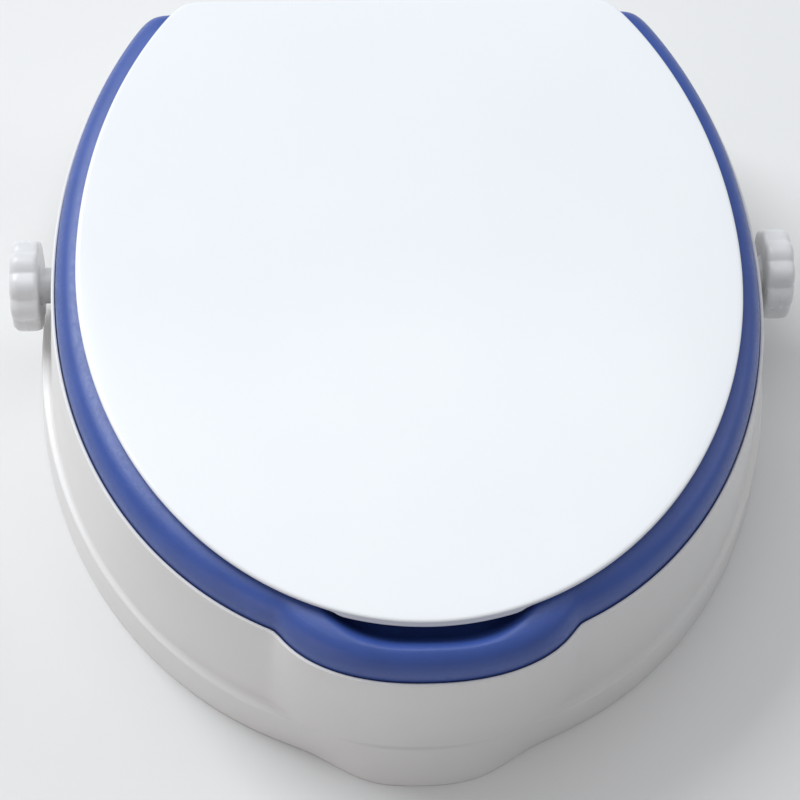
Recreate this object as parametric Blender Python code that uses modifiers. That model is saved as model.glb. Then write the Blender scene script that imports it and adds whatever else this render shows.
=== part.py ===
"""Raised toilet seat with a lid: a moulded body that stands on the bowl's rim, a soft ring pad,
a hinged lid, and a screw clamp on each side that presses a shoe against the bowl.

Frame: +Z up, -Y the front, X across. z = 0 is the skirt's lower edge and y = 0 the middle of the
whole length. Sizes below are in millimetres and become metres where a mesh is made.
"""
import bmesh
import bpy
import numpy as np
from math import cos, pi, radians, sin, tau
from mathutils import Vector

MM = 0.001
GAP = 0.3                    # play between pieces that touch

# ---- driving dimensions -------------------------------------------------------------------
STATION_COUNT = 56           # stations round every oval, the first at +X
Y_WIDE = 36.0                # where the seat is widest

PAD_HALF_WIDTH = 183.5
PAD_FRONT, PAD_BACK, PAD_POWER = 226.5, 256.0, 2.14
PAD_BACK_EDGE = 204.5
PAD_CREST_Z = 115.0
NOSE_HALF, NOSE_REACH, NOSE_POWER = 75.0, 45.0, 2.2
NOSE_CENTRE_Y = -159.4
HINGE_BAY_Y, HINGE_BAY_HALF = 189.5, 118.0   # the pad stops short here, to clear the hinges

OPENING_HALF_WIDTH, OPENING_DEPTH, OPENING_Y = 104.0, 140.0, 10.5

RIM_GAP, RIM_WIDTH, RIM_TOP = 0.5, 1.8, 98.0
DECK_TOP, WALL = 90.0, 3.5
DECK_UNDER = DECK_TOP - WALL
FOOT_HALF_WIDTH, FOOT_FRONT, FOOT_BACK, FOOT_BACK_EDGE = 192.0, 233.0, 262.0, 211.0
FOOT_NOSE_GROWTH = 2.8
FOOT_Z = 34.0                # where the wall starts to curve out into the ledge
LEDGE_HALF_WIDTH, LEDGE_FRONT, LEDGE_BACK, LEDGE_NOSE = 198.0, 241.0, 268.0, 4.0
LEDGE_Z, LEDGE_POWER, BODY_BACK_EDGE = 25.5, 2.04, 217.0
SKIRT_HALF_WIDTH, SKIRT_FRONT, SKIRT_NOSE, SKIRT_NOSE_HALF = 200.5, 241.5, 11.5, 46.0
SKIRT_BACK_RISE = 20.0       # the skirt is cut away behind, to clear the cistern
CHUTE_BOTTOM, CHUTE_TAPER = 6.0, 2.0
FLANGE_HALF_WIDTH, FLANGE_FRONT, FLANGE_BACK, FLANGE_BACK_EDGE = 168.0, 206.0, 230.0, 183.0
FLANGE_TOP, FLANGE_UNDER = 25.5, 22.0
RIB_HALF = 1.5
RIB_STATIONS = (39, 45, 33, 51, 10, 18)

LID_HALF_WIDTH, LID_FRONT, LID_BACK, LID_BACK_EDGE = 171.0, 212.5, 237.5, 199.5
LID_Y_WIDE, LID_POWER = 28.0, 2.0
LID_TOP, LID_CROWN, LID_THICK = 124.0, 3.0, 3.5
LIP_HALF, LIP_OUT, LIP_DOWN = 44.0, 0.6, 2.2

HINGE_X, HINGE_Y, HINGE_Z = 85.0, 198.0, 108.0
EAR_HALF, EAR_RADIUS, LUG_WALL, LUG_RADIUS = 5.0, 6.5, 5.0, 7.0
PIN_RADIUS, PIN_BORE = 3.0, 3.2
BRACKET_HALF, BRACKET_FRONT, BRACKET_REAR, BRACKET_THICK = 20.0, 193.8, 204.3, 3.7
BRACKET_SCREW_X = 15.5

KNOB_Y, KNOB_Z = 51.5, 60.0
KNOB_FACE, KNOB_BACK, HUB_END, BORE_END = 210.5, 195.5, 187.0, 204.0
KNOB_RADIUS, KNOB_LOBE, KNOB_LOBES, KNOB_SIDES, HUB_RADIUS = 24.2, 1.0, 10, 60, 9.7
SPINDLE_RADIUS, SPINDLE_BORE, SPINDLE_OUTER, SPINDLE_INNER = 5.7, 6.0, 203.5, 155.5
BOSS_RADIUS, BOSS_FACE, BOSS_END = 16.0, 173.5, 186.8
COUNTERBORE_RADIUS, COUNTERBORE_FLOOR, WEB_BORE = 11.0, 183.0, 6.3
NUT_RADIUS, NUT_INNER, NUT_OUTER, POCKET_FLOOR = 11.5, 173.8, 179.7, 180.0
COLLAR_RADIUS, COLLAR_INNER, COLLAR_OUTER = 8.5, 164.3, 167.3
SHOE_INNER, SHOE_THICK, SHOE_HALF, SHOE_TOP = 159.5, 4.0, 18.0, 68.0
FOOT_X, SHOE_FOOT_TOP, SHOE_FOOT_BOTTOM, CRANK_TOP = 184.0, 18.0, 3.0, 44.0
SHOE_PAD, SHOE_PAD_Z = (3.7, 32.0, 13.0), 10.5
GUIDE_SPACING = 20.0         # from the shoe's middle to the rib on each side of it
CLIP_INNER_X, CLIP_THICK, CLIP_RADIUS, GROOVE_RADIUS = 157.7, 1.3, 8.0, 4.3

PAD_SCREW_STATIONS = (36, 48, 30, 54, 21, 7)
REST_PAD_STATIONS = (37, 47, 28, 0, 20, 8)
BUMPER_STATIONS = (35, 49, 20, 8)
REST_PAD = (26.0, 40.0, 2.0)
BRACKET_HOLE, PAD_HOLE = 2.2, 2.3   # radii
CARRIER_LOW, CARRIER_HIGH = DECK_TOP + GAP, DECK_TOP + 3.3
CARRIER_OUT, CARRIER_IN, CARRIER_PLAY = 16.0, 14.0, 2.5
ROUND_SIDES = 24

STATIONS = np.arange(STATION_COUNT) * tau / STATION_COUNT
CENTRE = np.array([[0.0, Y_WIDE]])


# ---- outlines -----------------------------------------------------------------------------
def soft_min(a, b, softness):
    """The lesser of a and b, rounded over about this many millimetres where they cross."""
    return -softness * np.logaddexp(-a / softness, -b / softness)


def smooth_step(value):
    value = np.clip(value, 0.0, 1.0)
    return value * value * (3.0 - 2.0 * value)


def outline(half_width, front, back, centre_y=Y_WIDE, front_power=2.0, back_edge=None,
            corner=4.0, nose_growth=None, nose_soft=1.5, nose_out=0.0):
    """An oval of two halves, the front one a superellipse, with a cut back edge, the pad's
    rounded nose, or the skirt's smoother bulge where asked."""
    c, s = np.cos(STATIONS), np.sin(STATIONS)
    power = np.where(s < 0.0, front_power, 2.0)
    depth = np.where(s < 0.0, front, back)
    x = half_width * np.sign(c) * np.abs(c) ** (2.0 / power)
    y = centre_y + depth * np.sign(s) * np.abs(s) ** (2.0 / power)
    front_half = s < 0.0
    if nose_growth is not None:
        run = np.clip(np.abs(x) / (NOSE_HALF + nose_growth), 0.0, 1.0) ** NOSE_POWER
        arc = NOSE_CENTRE_Y - (NOSE_REACH + nose_growth) * (1.0 - run) ** (1.0 / NOSE_POWER)
        y = np.where(front_half & (run < 1.0), soft_min(y, arc, nose_soft), y)
    if nose_out:
        y = np.where(front_half, y - nose_out * np.exp(-(x / SKIRT_NOSE_HALF) ** 4), y)
    if back_edge is not None:
        y = np.where(front_half, y, soft_min(y, back_edge, corner))
    return np.column_stack((x, y))


def offset(ring, distance):
    """The ring moved outward by a distance, or inward where it is negative."""
    tangent = np.roll(ring, -1, axis=0) - np.roll(ring, 1, axis=0)
    normal = np.column_stack((tangent[:, 1], -tangent[:, 0]))
    return ring + distance * normal / np.linalg.norm(normal, axis=1)[:, None]


def between(ring_a, ring_b, share):
    return (1.0 - share) * ring_a + share * ring_b


def at_height(ring, z):
    return np.column_stack((ring, np.broadcast_to(z, len(ring))))


PAD_SEAT = outline(PAD_HALF_WIDTH, PAD_FRONT, PAD_BACK, front_power=PAD_POWER,
                   back_edge=PAD_BACK_EDGE, nose_growth=0.0)
OPENING = outline(OPENING_HALF_WIDTH, OPENING_DEPTH, OPENING_DEPTH, centre_y=OPENING_Y)
RIM_INNER = offset(PAD_SEAT, RIM_GAP)
RIM_OUTER = offset(PAD_SEAT, RIM_GAP + RIM_WIDTH)
WALL_FOOT = outline(FOOT_HALF_WIDTH, FOOT_FRONT, FOOT_BACK, front_power=PAD_POWER,
                    back_edge=FOOT_BACK_EDGE, corner=6.0, nose_growth=FOOT_NOSE_GROWTH,
                    nose_soft=4.0)
LEDGE = outline(LEDGE_HALF_WIDTH, LEDGE_FRONT, LEDGE_BACK, front_power=LEDGE_POWER,
                back_edge=BODY_BACK_EDGE, corner=6.0, nose_out=LEDGE_NOSE)
SKIRT = outline(SKIRT_HALF_WIDTH, SKIRT_FRONT, LEDGE_BACK, front_power=LEDGE_POWER,
                back_edge=BODY_BACK_EDGE, corner=6.0, nose_out=SKIRT_NOSE)
FLANGE = outline(FLANGE_HALF_WIDTH, FLANGE_FRONT, FLANGE_BACK, back_edge=FLANGE_BACK_EDGE,
                 corner=6.0)
LID = outline(LID_HALF_WIDTH, LID_FRONT, LID_BACK, centre_y=LID_Y_WIDE,
              front_power=LID_POWER, back_edge=LID_BACK_EDGE)


def pad_ring(distance=0.0):
    """The pad's outer edge moved outward by a distance. It fills the body's recess, less the
    bay behind it that the hinges stand in."""
    ring = offset(PAD_SEAT, distance)
    beside = smooth_step((np.abs(ring[:, 0]) - HINGE_BAY_HALF + distance) / 10.0)
    limit = HINGE_BAY_Y + distance + beside * (PAD_BACK_EDGE - HINGE_BAY_Y)
    ring[:, 1] = np.minimum(ring[:, 1], limit)
    return ring


PAD = pad_ring()


def wall_at(z):
    """The body's outer wall between its rim and the foot of the wall."""
    return between(RIM_OUTER, WALL_FOOT, (RIM_TOP - z) / (RIM_TOP - FOOT_Z))


def chute_at(z):
    """The splash guard's inner face, which narrows slightly downward."""
    return offset(OPENING, -CHUTE_TAPER * (DECK_TOP - z) / (DECK_TOP - CHUTE_BOTTOM))


# ---- making objects -----------------------------------------------------------------------
def clear_scene():
    for item in list(bpy.data.objects):
        bpy.data.objects.remove(item, do_unlink=True)


def make_collection(name):
    collection = bpy.data.collections.new(name)
    bpy.context.scene.collection.children.link(collection)
    return collection


def make_material(name, color, roughness, metallic=0.0):
    material = bpy.data.materials.new(name)
    material.use_nodes = True
    shader = material.node_tree.nodes["Principled BSDF"]
    shader.inputs["Base Color"].default_value = (*color, 1.0)
    shader.inputs["Roughness"].default_value = roughness
    shader.inputs["Metallic"].default_value = metallic
    return material


clear_scene()
SEAT = make_collection("raised_toilet_seat")
CUTTERS = make_collection("cutters")
WHITE = make_material("body_white", (0.78, 0.78, 0.79), 0.35)
LID_WHITE = make_material("lid_white", (0.85, 0.87, 0.90), 0.2)
BLUE = make_material("pad_blue", (0.06, 0.10, 0.37), 0.55)
GREY = make_material("carrier_grey", (0.30, 0.31, 0.33), 0.6)
RUBBER = make_material("rubber_grey", (0.12, 0.12, 0.13), 0.8)
STEEL = make_material("stainless_steel", (0.62, 0.62, 0.64), 0.3, 1.0)


def skin(name, loops, closed=False):
    """A mesh over a row of like loops, closed on itself or capped at both ends, from mm."""
    bm = bmesh.new()
    rows = [[bm.verts.new(Vector(point) * MM) for point in loop] for loop in loops]
    pairs = list(zip(rows, rows[1:]))
    if closed:
        pairs.append((rows[-1], rows[0]))
    else:
        bm.faces.new(rows[0])
        bm.faces.new(rows[-1])
    count = len(rows[0])
    for near, far in pairs:
        for i in range(count):
            j = (i + 1) % count
            bm.faces.new((near[i], near[j], far[j], far[i]))
    bmesh.ops.recalc_face_normals(bm, faces=bm.faces)
    mesh = bpy.data.meshes.new(name)
    bm.to_mesh(mesh)
    bm.free()
    mesh.shade_smooth()
    mesh.set_sharp_from_angle(angle=radians(35))
    return mesh


def add_object(name, mesh, material, location=(0, 0, 0), rotation=(0, 0, 0), collection=SEAT):
    item = bpy.data.objects.new(name, mesh)
    item.location = Vector(location) * MM
    item.rotation_euler = rotation
    collection.objects.link(item)
    if material and not mesh.materials:
        mesh.materials.append(material)
    return item


def add_cutter(name, meshes):
    """One operand from several meshes that are apart from each other: (mesh, location) pairs."""
    bm = bmesh.new()
    for mesh, location in meshes:
        start = len(bm.verts)
        bm.from_mesh(mesh)
        bm.verts.ensure_lookup_table()
        bmesh.ops.translate(bm, verts=bm.verts[start:], vec=Vector(location) * MM)
    joined = bpy.data.meshes.new(name)
    bm.to_mesh(joined)
    bm.free()
    item = add_object(name, joined, None, collection=CUTTERS)
    item.hide_render = True
    item.display_type = "WIRE"
    return item


def combine(item, operand, operation):
    modifier = item.modifiers.new(operand.name, "BOOLEAN")
    modifier.operation = operation
    modifier.object = operand


def cylinder_mesh(name, radius, low, high, axis="Z", sides=ROUND_SIDES):
    """A plain cylinder along Z or X between two stations."""
    bm = bmesh.new()
    bmesh.ops.create_cone(bm, cap_ends=True, segments=sides, radius1=radius * MM,
                          radius2=radius * MM, depth=(high - low) * MM)
    bmesh.ops.translate(bm, verts=bm.verts, vec=(0, 0, (high + low) / 2 * MM))
    mesh = bpy.data.meshes.new(name)
    if axis == "X":
        for vert in bm.verts:
            vert.co = Vector((vert.co.z, vert.co.y, -vert.co.x))
    bm.to_mesh(mesh)
    bm.free()
    return mesh


def box_mesh(name, size_x, size_y, size_z):
    bm = bmesh.new()
    bmesh.ops.create_cube(bm, size=MM)
    bmesh.ops.scale(bm, verts=bm.verts, vec=(size_x, size_y, size_z))
    mesh = bpy.data.meshes.new(name)
    bm.to_mesh(mesh)
    bm.free()
    return mesh


def add_bevel(item, width, segments=2):
    bevel = item.modifiers.new("bevel", "BEVEL")
    bevel.width = width * MM
    bevel.segments = segments
    bevel.limit_method = "ANGLE"
    bevel.angle_limit = radians(40)


def turned(name, profile, material, location, rotation=(0, 0, 0), sides=16):
    """A solid of revolution about its own Z, from (radius, height) points, top to bottom."""
    mesh = bpy.data.meshes.new(name)
    points = [(radius * MM, 0.0, height * MM) for radius, height in profile]
    mesh.from_pydata(points, [(i, i + 1) for i in range(len(points) - 1)], [])
    item = add_object(name, mesh, material, location, rotation)
    screw = item.modifiers.new("turn", "SCREW")
    screw.axis = "Z"
    screw.angle = tau
    screw.steps = sides
    screw.render_steps = sides
    screw.use_merge_vertices = True
    screw.merge_threshold = 0.00001
    screw.use_smooth_shade = True
    return item


def side_name(side):
    return "left" if side < 0 else "right"


# ---- body ---------------------------------------------------------------------------------
def body_sections():
    """Rings round the body, in order along its closed wall section."""
    skirt_low = SKIRT_BACK_RISE * smooth_step((SKIRT[:, 1] - 80.0) / 35.0)
    skirt_mid = (skirt_low + LEDGE_Z) / 2
    rings = [
        at_height(chute_at(CHUTE_BOTTOM), CHUTE_BOTTOM),
        at_height(chute_at(DECK_TOP - 3.0), DECK_TOP - 3.0),
        at_height(offset(OPENING, 2.0), DECK_TOP),
        at_height(RIM_INNER, DECK_TOP),
        at_height(RIM_INNER, RIM_TOP - 0.3),
        at_height(offset(RIM_INNER, 0.5), RIM_TOP),
        at_height(RIM_OUTER, RIM_TOP - 0.8),
    ]
    rings += [at_height(wall_at(z), z) for z in (76.0, 55.0, FOOT_Z)]
    for share, z in ((0.12, 31.2), (0.4, 28.8), (0.8, 27.6), (1.0, LEDGE_Z)):
        rings.append(at_height(between(WALL_FOOT, LEDGE, share), z))
    rings += [
        at_height(between(LEDGE, SKIRT, 0.45), skirt_mid),
        at_height(SKIRT, skirt_low),
        at_height(offset(SKIRT, -WALL), skirt_low),
        at_height(offset(LEDGE, -WALL), LEDGE_Z - WALL + 0.5),
        at_height(offset(WALL_FOOT, -WALL), FOOT_Z - 5.0),
        at_height(offset(wall_at(55.0), -WALL), 55.0),
        at_height(offset(wall_at(DECK_UNDER), -WALL), DECK_UNDER),
        at_height(offset(chute_at(DECK_UNDER), WALL), DECK_UNDER),
        at_height(offset(chute_at(FLANGE_TOP), WALL), FLANGE_TOP),
        at_height(FLANGE, FLANGE_TOP),
        at_height(FLANGE, FLANGE_UNDER),
        at_height(offset(chute_at(FLANGE_UNDER), WALL), FLANGE_UNDER),
        at_height(offset(chute_at(CHUTE_BOTTOM), WALL - 0.5), CHUTE_BOTTOM),
    ]
    return rings


def rib_mesh(name, start, direction, to_flange, to_foot, to_top):
    """An upright rib between chute and wall, from its inner end along a level direction."""
    low, high = FLANGE_UNDER + 2.0, DECK_TOP - 2.0
    profile = [(0, low), (to_flange, low), (to_foot, FOOT_Z), (to_top, high), (0, high)]
    across = np.array([-direction[1], direction[0]]) * RIB_HALF
    faces = []
    for side in (-1, 1):
        flat = [start + direction * run + across * side for run, _ in profile]
        faces.append([(point[0], point[1], z) for point, (_, z) in zip(flat, profile)])
    return skin(name, faces)


def radial_rib(station):
    start = offset(OPENING, 1.0)[station]
    foot = offset(WALL_FOOT, -WALL / 2)[station]
    top = offset(wall_at(DECK_TOP - 2.0), -WALL / 2)[station]
    flange = offset(FLANGE, -2.0)[station]
    direction = (foot - start) / np.linalg.norm(foot - start)
    runs = [float((point - start) @ direction) for point in (flange, foot, top)]
    return rib_mesh(f"rib_{station}", start, direction, *runs)


def half_width_at(ring, y):
    """The ring's reach on the +X side at a station y."""
    right = ring[ring[:, 0] > 1.0]
    order = np.argsort(right[:, 1])
    return float(np.interp(y, right[order, 1], right[order, 0]))


def guide_rib(side, y):
    """A rib beside a clamp shoe, which keeps the shoe from turning."""
    start = half_width_at(offset(OPENING, 1.0), y)
    rings = (offset(FLANGE, -2.0), offset(WALL_FOOT, -WALL / 2),
             offset(wall_at(DECK_TOP - 2.0), -WALL / 2))
    runs = [half_width_at(ring, y) - start for ring in rings]
    return rib_mesh(f"guide_{side}_{y}", np.array([side * start, y]),
                    np.array([float(side), 0.0]), *runs)


def span(side, low, high):
    return (low, high) if side > 0 else (-high, -low)


def round_loop(radius, count=ROUND_SIDES):
    return [(radius * cos(tau * i / count), radius * sin(tau * i / count))
            for i in range(count)]


def hexagon(radius, count=ROUND_SIDES):
    """Points round a hexagon, with a corner at every sixth of the turn."""
    points = []
    for i in range(count):
        angle = tau * i / count
        reach = radius * cos(pi / 6) / cos((angle % (pi / 3)) - pi / 6)
        points.append((reach * cos(angle), reach * sin(angle)))
    return points


def make_body():
    body = add_object("body_shell", skin("body_shell", body_sections(), closed=True), WHITE)
    added, bored, pockets = [], [], []
    for station in RIB_STATIONS:
        added.append((radial_rib(station), (0, 0, 0)))
    for side in (-1, 1):
        for shift in (-GUIDE_SPACING, GUIDE_SPACING):
            added.append((guide_rib(side, KNOB_Y + shift), (0, 0, 0)))
        at_knob = (0, KNOB_Y, KNOB_Z)
        boss = cylinder_mesh("boss", BOSS_RADIUS, *span(side, BOSS_FACE, BOSS_END), axis="X")
        added.append((boss, at_knob))
        stepped = ((WEB_BORE, BOSS_FACE - 3.0), (WEB_BORE, COUNTERBORE_FLOOR),
                   (COUNTERBORE_RADIUS, COUNTERBORE_FLOOR), (COUNTERBORE_RADIUS, 200.0))
        loops = [[(side * x, a, b) for a, b in round_loop(radius)] for radius, x in stepped]
        bored.append((skin("spindle_way", loops), at_knob))
        loops = [[(side * x, a, b) for a, b in hexagon(NUT_RADIUS + 0.4)]
                 for x in (BOSS_FACE - 2.0, POCKET_FLOOR)]
        pockets.append((skin("nut_pocket", loops), at_knob))
        for shift in (-BRACKET_SCREW_X, BRACKET_SCREW_X):
            hole = cylinder_mesh("bracket_hole", BRACKET_HOLE, DECK_UNDER - 2, DECK_TOP + 2, sides=12)
            bored.append((hole, (side * HINGE_X + shift, bracket_middle(), 0)))
    for station in PAD_SCREW_STATIONS:
        hole = cylinder_mesh("pad_hole", PAD_HOLE, DECK_UNDER - 2, DECK_TOP + 2, sides=12)
        bored.append((hole, (*deck_middle(station), 0)))
    combine(body, add_cutter("ribs_and_bosses", added), "UNION")
    combine(body, add_cutter("bores", bored), "DIFFERENCE")
    combine(body, add_cutter("nut_pockets", pockets), "DIFFERENCE")


def deck_middle(station):
    """The middle of the deck, between the opening and the pad's edge."""
    return between(OPENING, PAD_SEAT, 0.5)[station]


def bracket_middle():
    return (BRACKET_FRONT + BRACKET_REAR) / 2


# ---- pad ----------------------------------------------------------------------------------
def make_pad():
    """A soft ring with a domed top, a recess below for its carrier and a finger dip in front."""
    low = DECK_TOP + GAP
    roof = CARRIER_HIGH + 0.7
    dip = np.exp(-(PAD[:, 0] / 46.0) ** 4) * (PAD[:, 1] < 0)
    middle = between(OPENING, PAD, 0.5)
    rings = [
        at_height(pad_ring(-1.0), low),
        at_height(PAD, 96.0),
        at_height(pad_ring(-3.0), 104.5 - 1.0 * dip),
        at_height(pad_ring(-10.0), 111.5 - 3.0 * dip),
        at_height(pad_ring(-20.0), 114.2 - 13.0 * dip),
        at_height(middle, PAD_CREST_Z - 12.0 * dip),
        at_height(offset(OPENING, 14.0), 112.5),
        at_height(offset(OPENING, 4.0), 104.0),
        at_height(offset(OPENING, 1.0), 96.0),
        at_height(offset(OPENING, 2.5), low),
        at_height(offset(OPENING, CARRIER_IN - CARRIER_PLAY), low),
        at_height(offset(OPENING, CARRIER_IN - CARRIER_PLAY), roof),
        at_height(pad_ring(CARRIER_PLAY - CARRIER_OUT), roof),
        at_height(pad_ring(CARRIER_PLAY - CARRIER_OUT), low),
    ]
    add_object("seat_pad", skin("seat_pad", rings, closed=True), BLUE)


def make_carrier():
    outer, inner = pad_ring(-CARRIER_OUT), offset(OPENING, CARRIER_IN)
    rings = [at_height(outer, CARRIER_LOW), at_height(outer, CARRIER_HIGH),
             at_height(inner, CARRIER_HIGH), at_height(inner, CARRIER_LOW)]
    carrier = add_object("pad_carrier", skin("pad_carrier", rings, closed=True), GREY)
    holes = [(cylinder_mesh("hole", PAD_HOLE, CARRIER_LOW - 2, CARRIER_HIGH + 2, sides=12),
              (*deck_middle(station), 0)) for station in PAD_SCREW_STATIONS]
    combine(carrier, add_cutter("carrier_holes", holes), "DIFFERENCE")


def screw_profile(head, head_height, shank, length):
    """A pan-head screw with its head up and the underside of the head at zero."""
    return [(0, head_height), (head * 0.7, head_height), (head, head_height * 0.45), (head, 0),
            (shank, 0), (shank, 1.0 - length), (shank * 0.4, -length), (0, -length)]


def make_pad_screws():
    for number, station in enumerate(PAD_SCREW_STATIONS, 1):
        x, y = deck_middle(station)
        turned(f"pad_screw_{number}", screw_profile(4.5, 2.4, 2.0, 6.4), STEEL,
               (x, y, DECK_UNDER - GAP), (pi, 0, 0), sides=12)


# ---- lid ----------------------------------------------------------------------------------
def hull_plate(name, radius, corners, low, high):
    """An ear or lug across X: a disc round the hinge line, hulled with the given corners."""
    bm = bmesh.new()
    for x in (low, high):
        for a, b in round_loop(radius):
            bm.verts.new(Vector((x, HINGE_Y + a, HINGE_Z + b)) * MM)
        for y, z in corners:
            bm.verts.new(Vector((x, y, z)) * MM)
    result = bmesh.ops.convex_hull(bm, input=bm.verts)
    spare = [item for item in result["geom_interior"] if isinstance(item, bmesh.types.BMVert)]
    bmesh.ops.delete(bm, geom=spare, context="VERTS")
    bmesh.ops.dissolve_limit(bm, angle_limit=radians(1), verts=bm.verts, edges=bm.edges)
    mesh = bpy.data.meshes.new(name)
    bm.to_mesh(mesh)
    bm.free()
    return mesh


def lid_ring(share, drop=0.0):
    """A ring inside the lid's edge, on its crowned top, or below it by a drop."""
    return at_height(between(CENTRE, LID, share), LID_TOP - LID_CROWN * share ** 2 - drop)


def make_lid():
    """A crowned plate with a turned-down grip lip in front and an ear for each hinge."""
    lip = 0.5 * (1.0 - np.tanh((np.abs(LID[:, 0]) - LIP_HALF) / 2.5)) * (LID[:, 1] < 0)
    edge_top = LID_TOP - LID_CROWN
    lipped = LID + lip[:, None] * (offset(LID, LIP_OUT) - LID)
    rings = [
        lid_ring(0.45), lid_ring(0.8),
        at_height(offset(LID, -1.5), edge_top - 0.1),
        at_height(LID, edge_top - 1.2),
        at_height(lipped, edge_top - LID_THICK + 1.0 - LIP_DOWN * lip),
        at_height(offset(lipped, -1.5), edge_top - LID_THICK - LIP_DOWN * lip),
        at_height(offset(LID, -3.5), edge_top - LID_THICK),
        lid_ring(0.8, LID_THICK), lid_ring(0.45, LID_THICK),
    ]
    lid = add_object("lid", skin("lid", rings), LID_WHITE)
    ear_top = edge_top - LID_THICK + 1.0
    corners = ((HINGE_Y - 7.5, ear_top), (HINGE_Y - 0.5, ear_top))
    ears, bores = [], []
    for side in (-1, 1):
        middle = side * HINGE_X
        ears.append((hull_plate("ear", EAR_RADIUS, corners, middle - EAR_HALF,
                                middle + EAR_HALF), (0, 0, 0)))
        bores.append((cylinder_mesh("bore", PIN_BORE, middle - EAR_HALF - 2,
                                    middle + EAR_HALF + 2, axis="X", sides=16),
                      (0, HINGE_Y, HINGE_Z)))
    combine(lid, add_cutter("lid_ears", ears), "UNION")
    combine(lid, add_cutter("ear_bores", bores), "DIFFERENCE")


def make_bumpers():
    for number, station in enumerate(BUMPER_STATIONS, 1):
        x, y = between(OPENING, PAD, 0.5)[station]
        profile = [(0, 2.3), (6.0, 2.3), (6.0, 0.8), (5.2, 0), (0, 0)]
        turned(f"lid_bumper_{number}", profile, RUBBER, (x, y, PAD_CREST_Z + GAP), sides=12)


# ---- hinges -------------------------------------------------------------------------------
def make_hinge(side):
    """A forked bracket screwed to the body's back deck, with a headed pin across its lugs."""
    name, middle = side_name(side), side * HINGE_X
    low = DECK_TOP + GAP
    base = box_mesh("base", 2 * BRACKET_HALF, BRACKET_REAR - BRACKET_FRONT, BRACKET_THICK)
    bracket = add_object(f"hinge_bracket_{name}", base, STEEL,
                         (middle, bracket_middle(), low + BRACKET_THICK / 2))
    lug_inner = EAR_HALF + 0.4
    corners = ((BRACKET_FRONT + 0.5, low + 1.0), (BRACKET_REAR - 0.5, low + 1.0))
    lugs, holes = [], []
    for hand in (-1, 1):
        ends = sorted((middle + hand * lug_inner, middle + hand * (lug_inner + LUG_WALL)))
        lugs.append((hull_plate("lug", LUG_RADIUS, corners, *ends), (0, 0, 0)))
        holes.append((cylinder_mesh("hole", BRACKET_HOLE, low - 2, low + BRACKET_THICK + 2, sides=12),
                      (middle + hand * BRACKET_SCREW_X, bracket_middle(), 0)))
        turned(f"bracket_screw_{name}_{'inner' if hand * side < 0 else 'outer'}",
               screw_profile(3.8, 2.2, 1.9, 11.0), STEEL,
               (middle + hand * BRACKET_SCREW_X, bracket_middle(), low + BRACKET_THICK + GAP),
               sides=12)
    reach = lug_inner + LUG_WALL
    bore = cylinder_mesh("bore", PIN_BORE, middle - reach - 2, middle + reach + 2, "X", 16)
    holes.append((bore, (0, HINGE_Y, HINGE_Z)))
    combine(bracket, add_cutter(f"lugs_{name}", lugs), "UNION")
    combine(bracket, add_cutter(f"bracket_holes_{name}", holes), "DIFFERENCE")
    profile = [(0, reach + 2.6), (3.6, reach + 2.6), (4.6, reach + 1.6), (4.6, reach + GAP),
               (PIN_RADIUS, reach + GAP), (PIN_RADIUS, -reach - 1.0), (0, -reach - 1.0)]
    turned(f"hinge_pin_{name}", profile, STEEL, (middle, HINGE_Y, HINGE_Z),
           (0, side * pi / 2, 0))


# ---- clamps -------------------------------------------------------------------------------
def lobed(scale=1.0):
    points = []
    for i in range(KNOB_SIDES):
        angle = tau * i / KNOB_SIDES
        reach = (KNOB_RADIUS + KNOB_LOBE * cos(KNOB_LOBES * angle)) * scale
        points.append((reach * cos(angle), reach * sin(angle)))
    return points


def make_knob_mesh():
    """A lobed hand wheel with a hub behind it and a blind bore for the spindle."""
    def rounds(radius):
        return round_loop(radius, KNOB_SIDES)

    sections = [
        (rounds(SPINDLE_BORE), BORE_END), (rounds(SPINDLE_BORE), HUB_END),
        (rounds(HUB_RADIUS), HUB_END), (rounds(HUB_RADIUS), KNOB_BACK),
        (lobed(0.93), KNOB_BACK), (lobed(), KNOB_BACK + 1.6), (lobed(), KNOB_FACE - 2.2),
        (lobed(0.9), KNOB_FACE), (rounds(9.0), KNOB_FACE), (rounds(7.5), KNOB_FACE - 1.5),
    ]
    return skin("knob", [[(x, y, z) for x, y in points] for points, z in sections])


def c_ring_mesh():
    """An open ring that snaps into the spindle's groove."""
    loops = []
    inner = GROOVE_RADIUS + GAP
    for i in range(15):
        angle = radians(30 + 300 * i / 14)
        loops.append([(radius * cos(angle), radius * sin(angle), z)
                      for radius, z in ((inner, 0), (CLIP_RADIUS, 0), (CLIP_RADIUS, CLIP_THICK),
                                        (inner, CLIP_THICK))])
    return skin("clip", loops)


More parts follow.
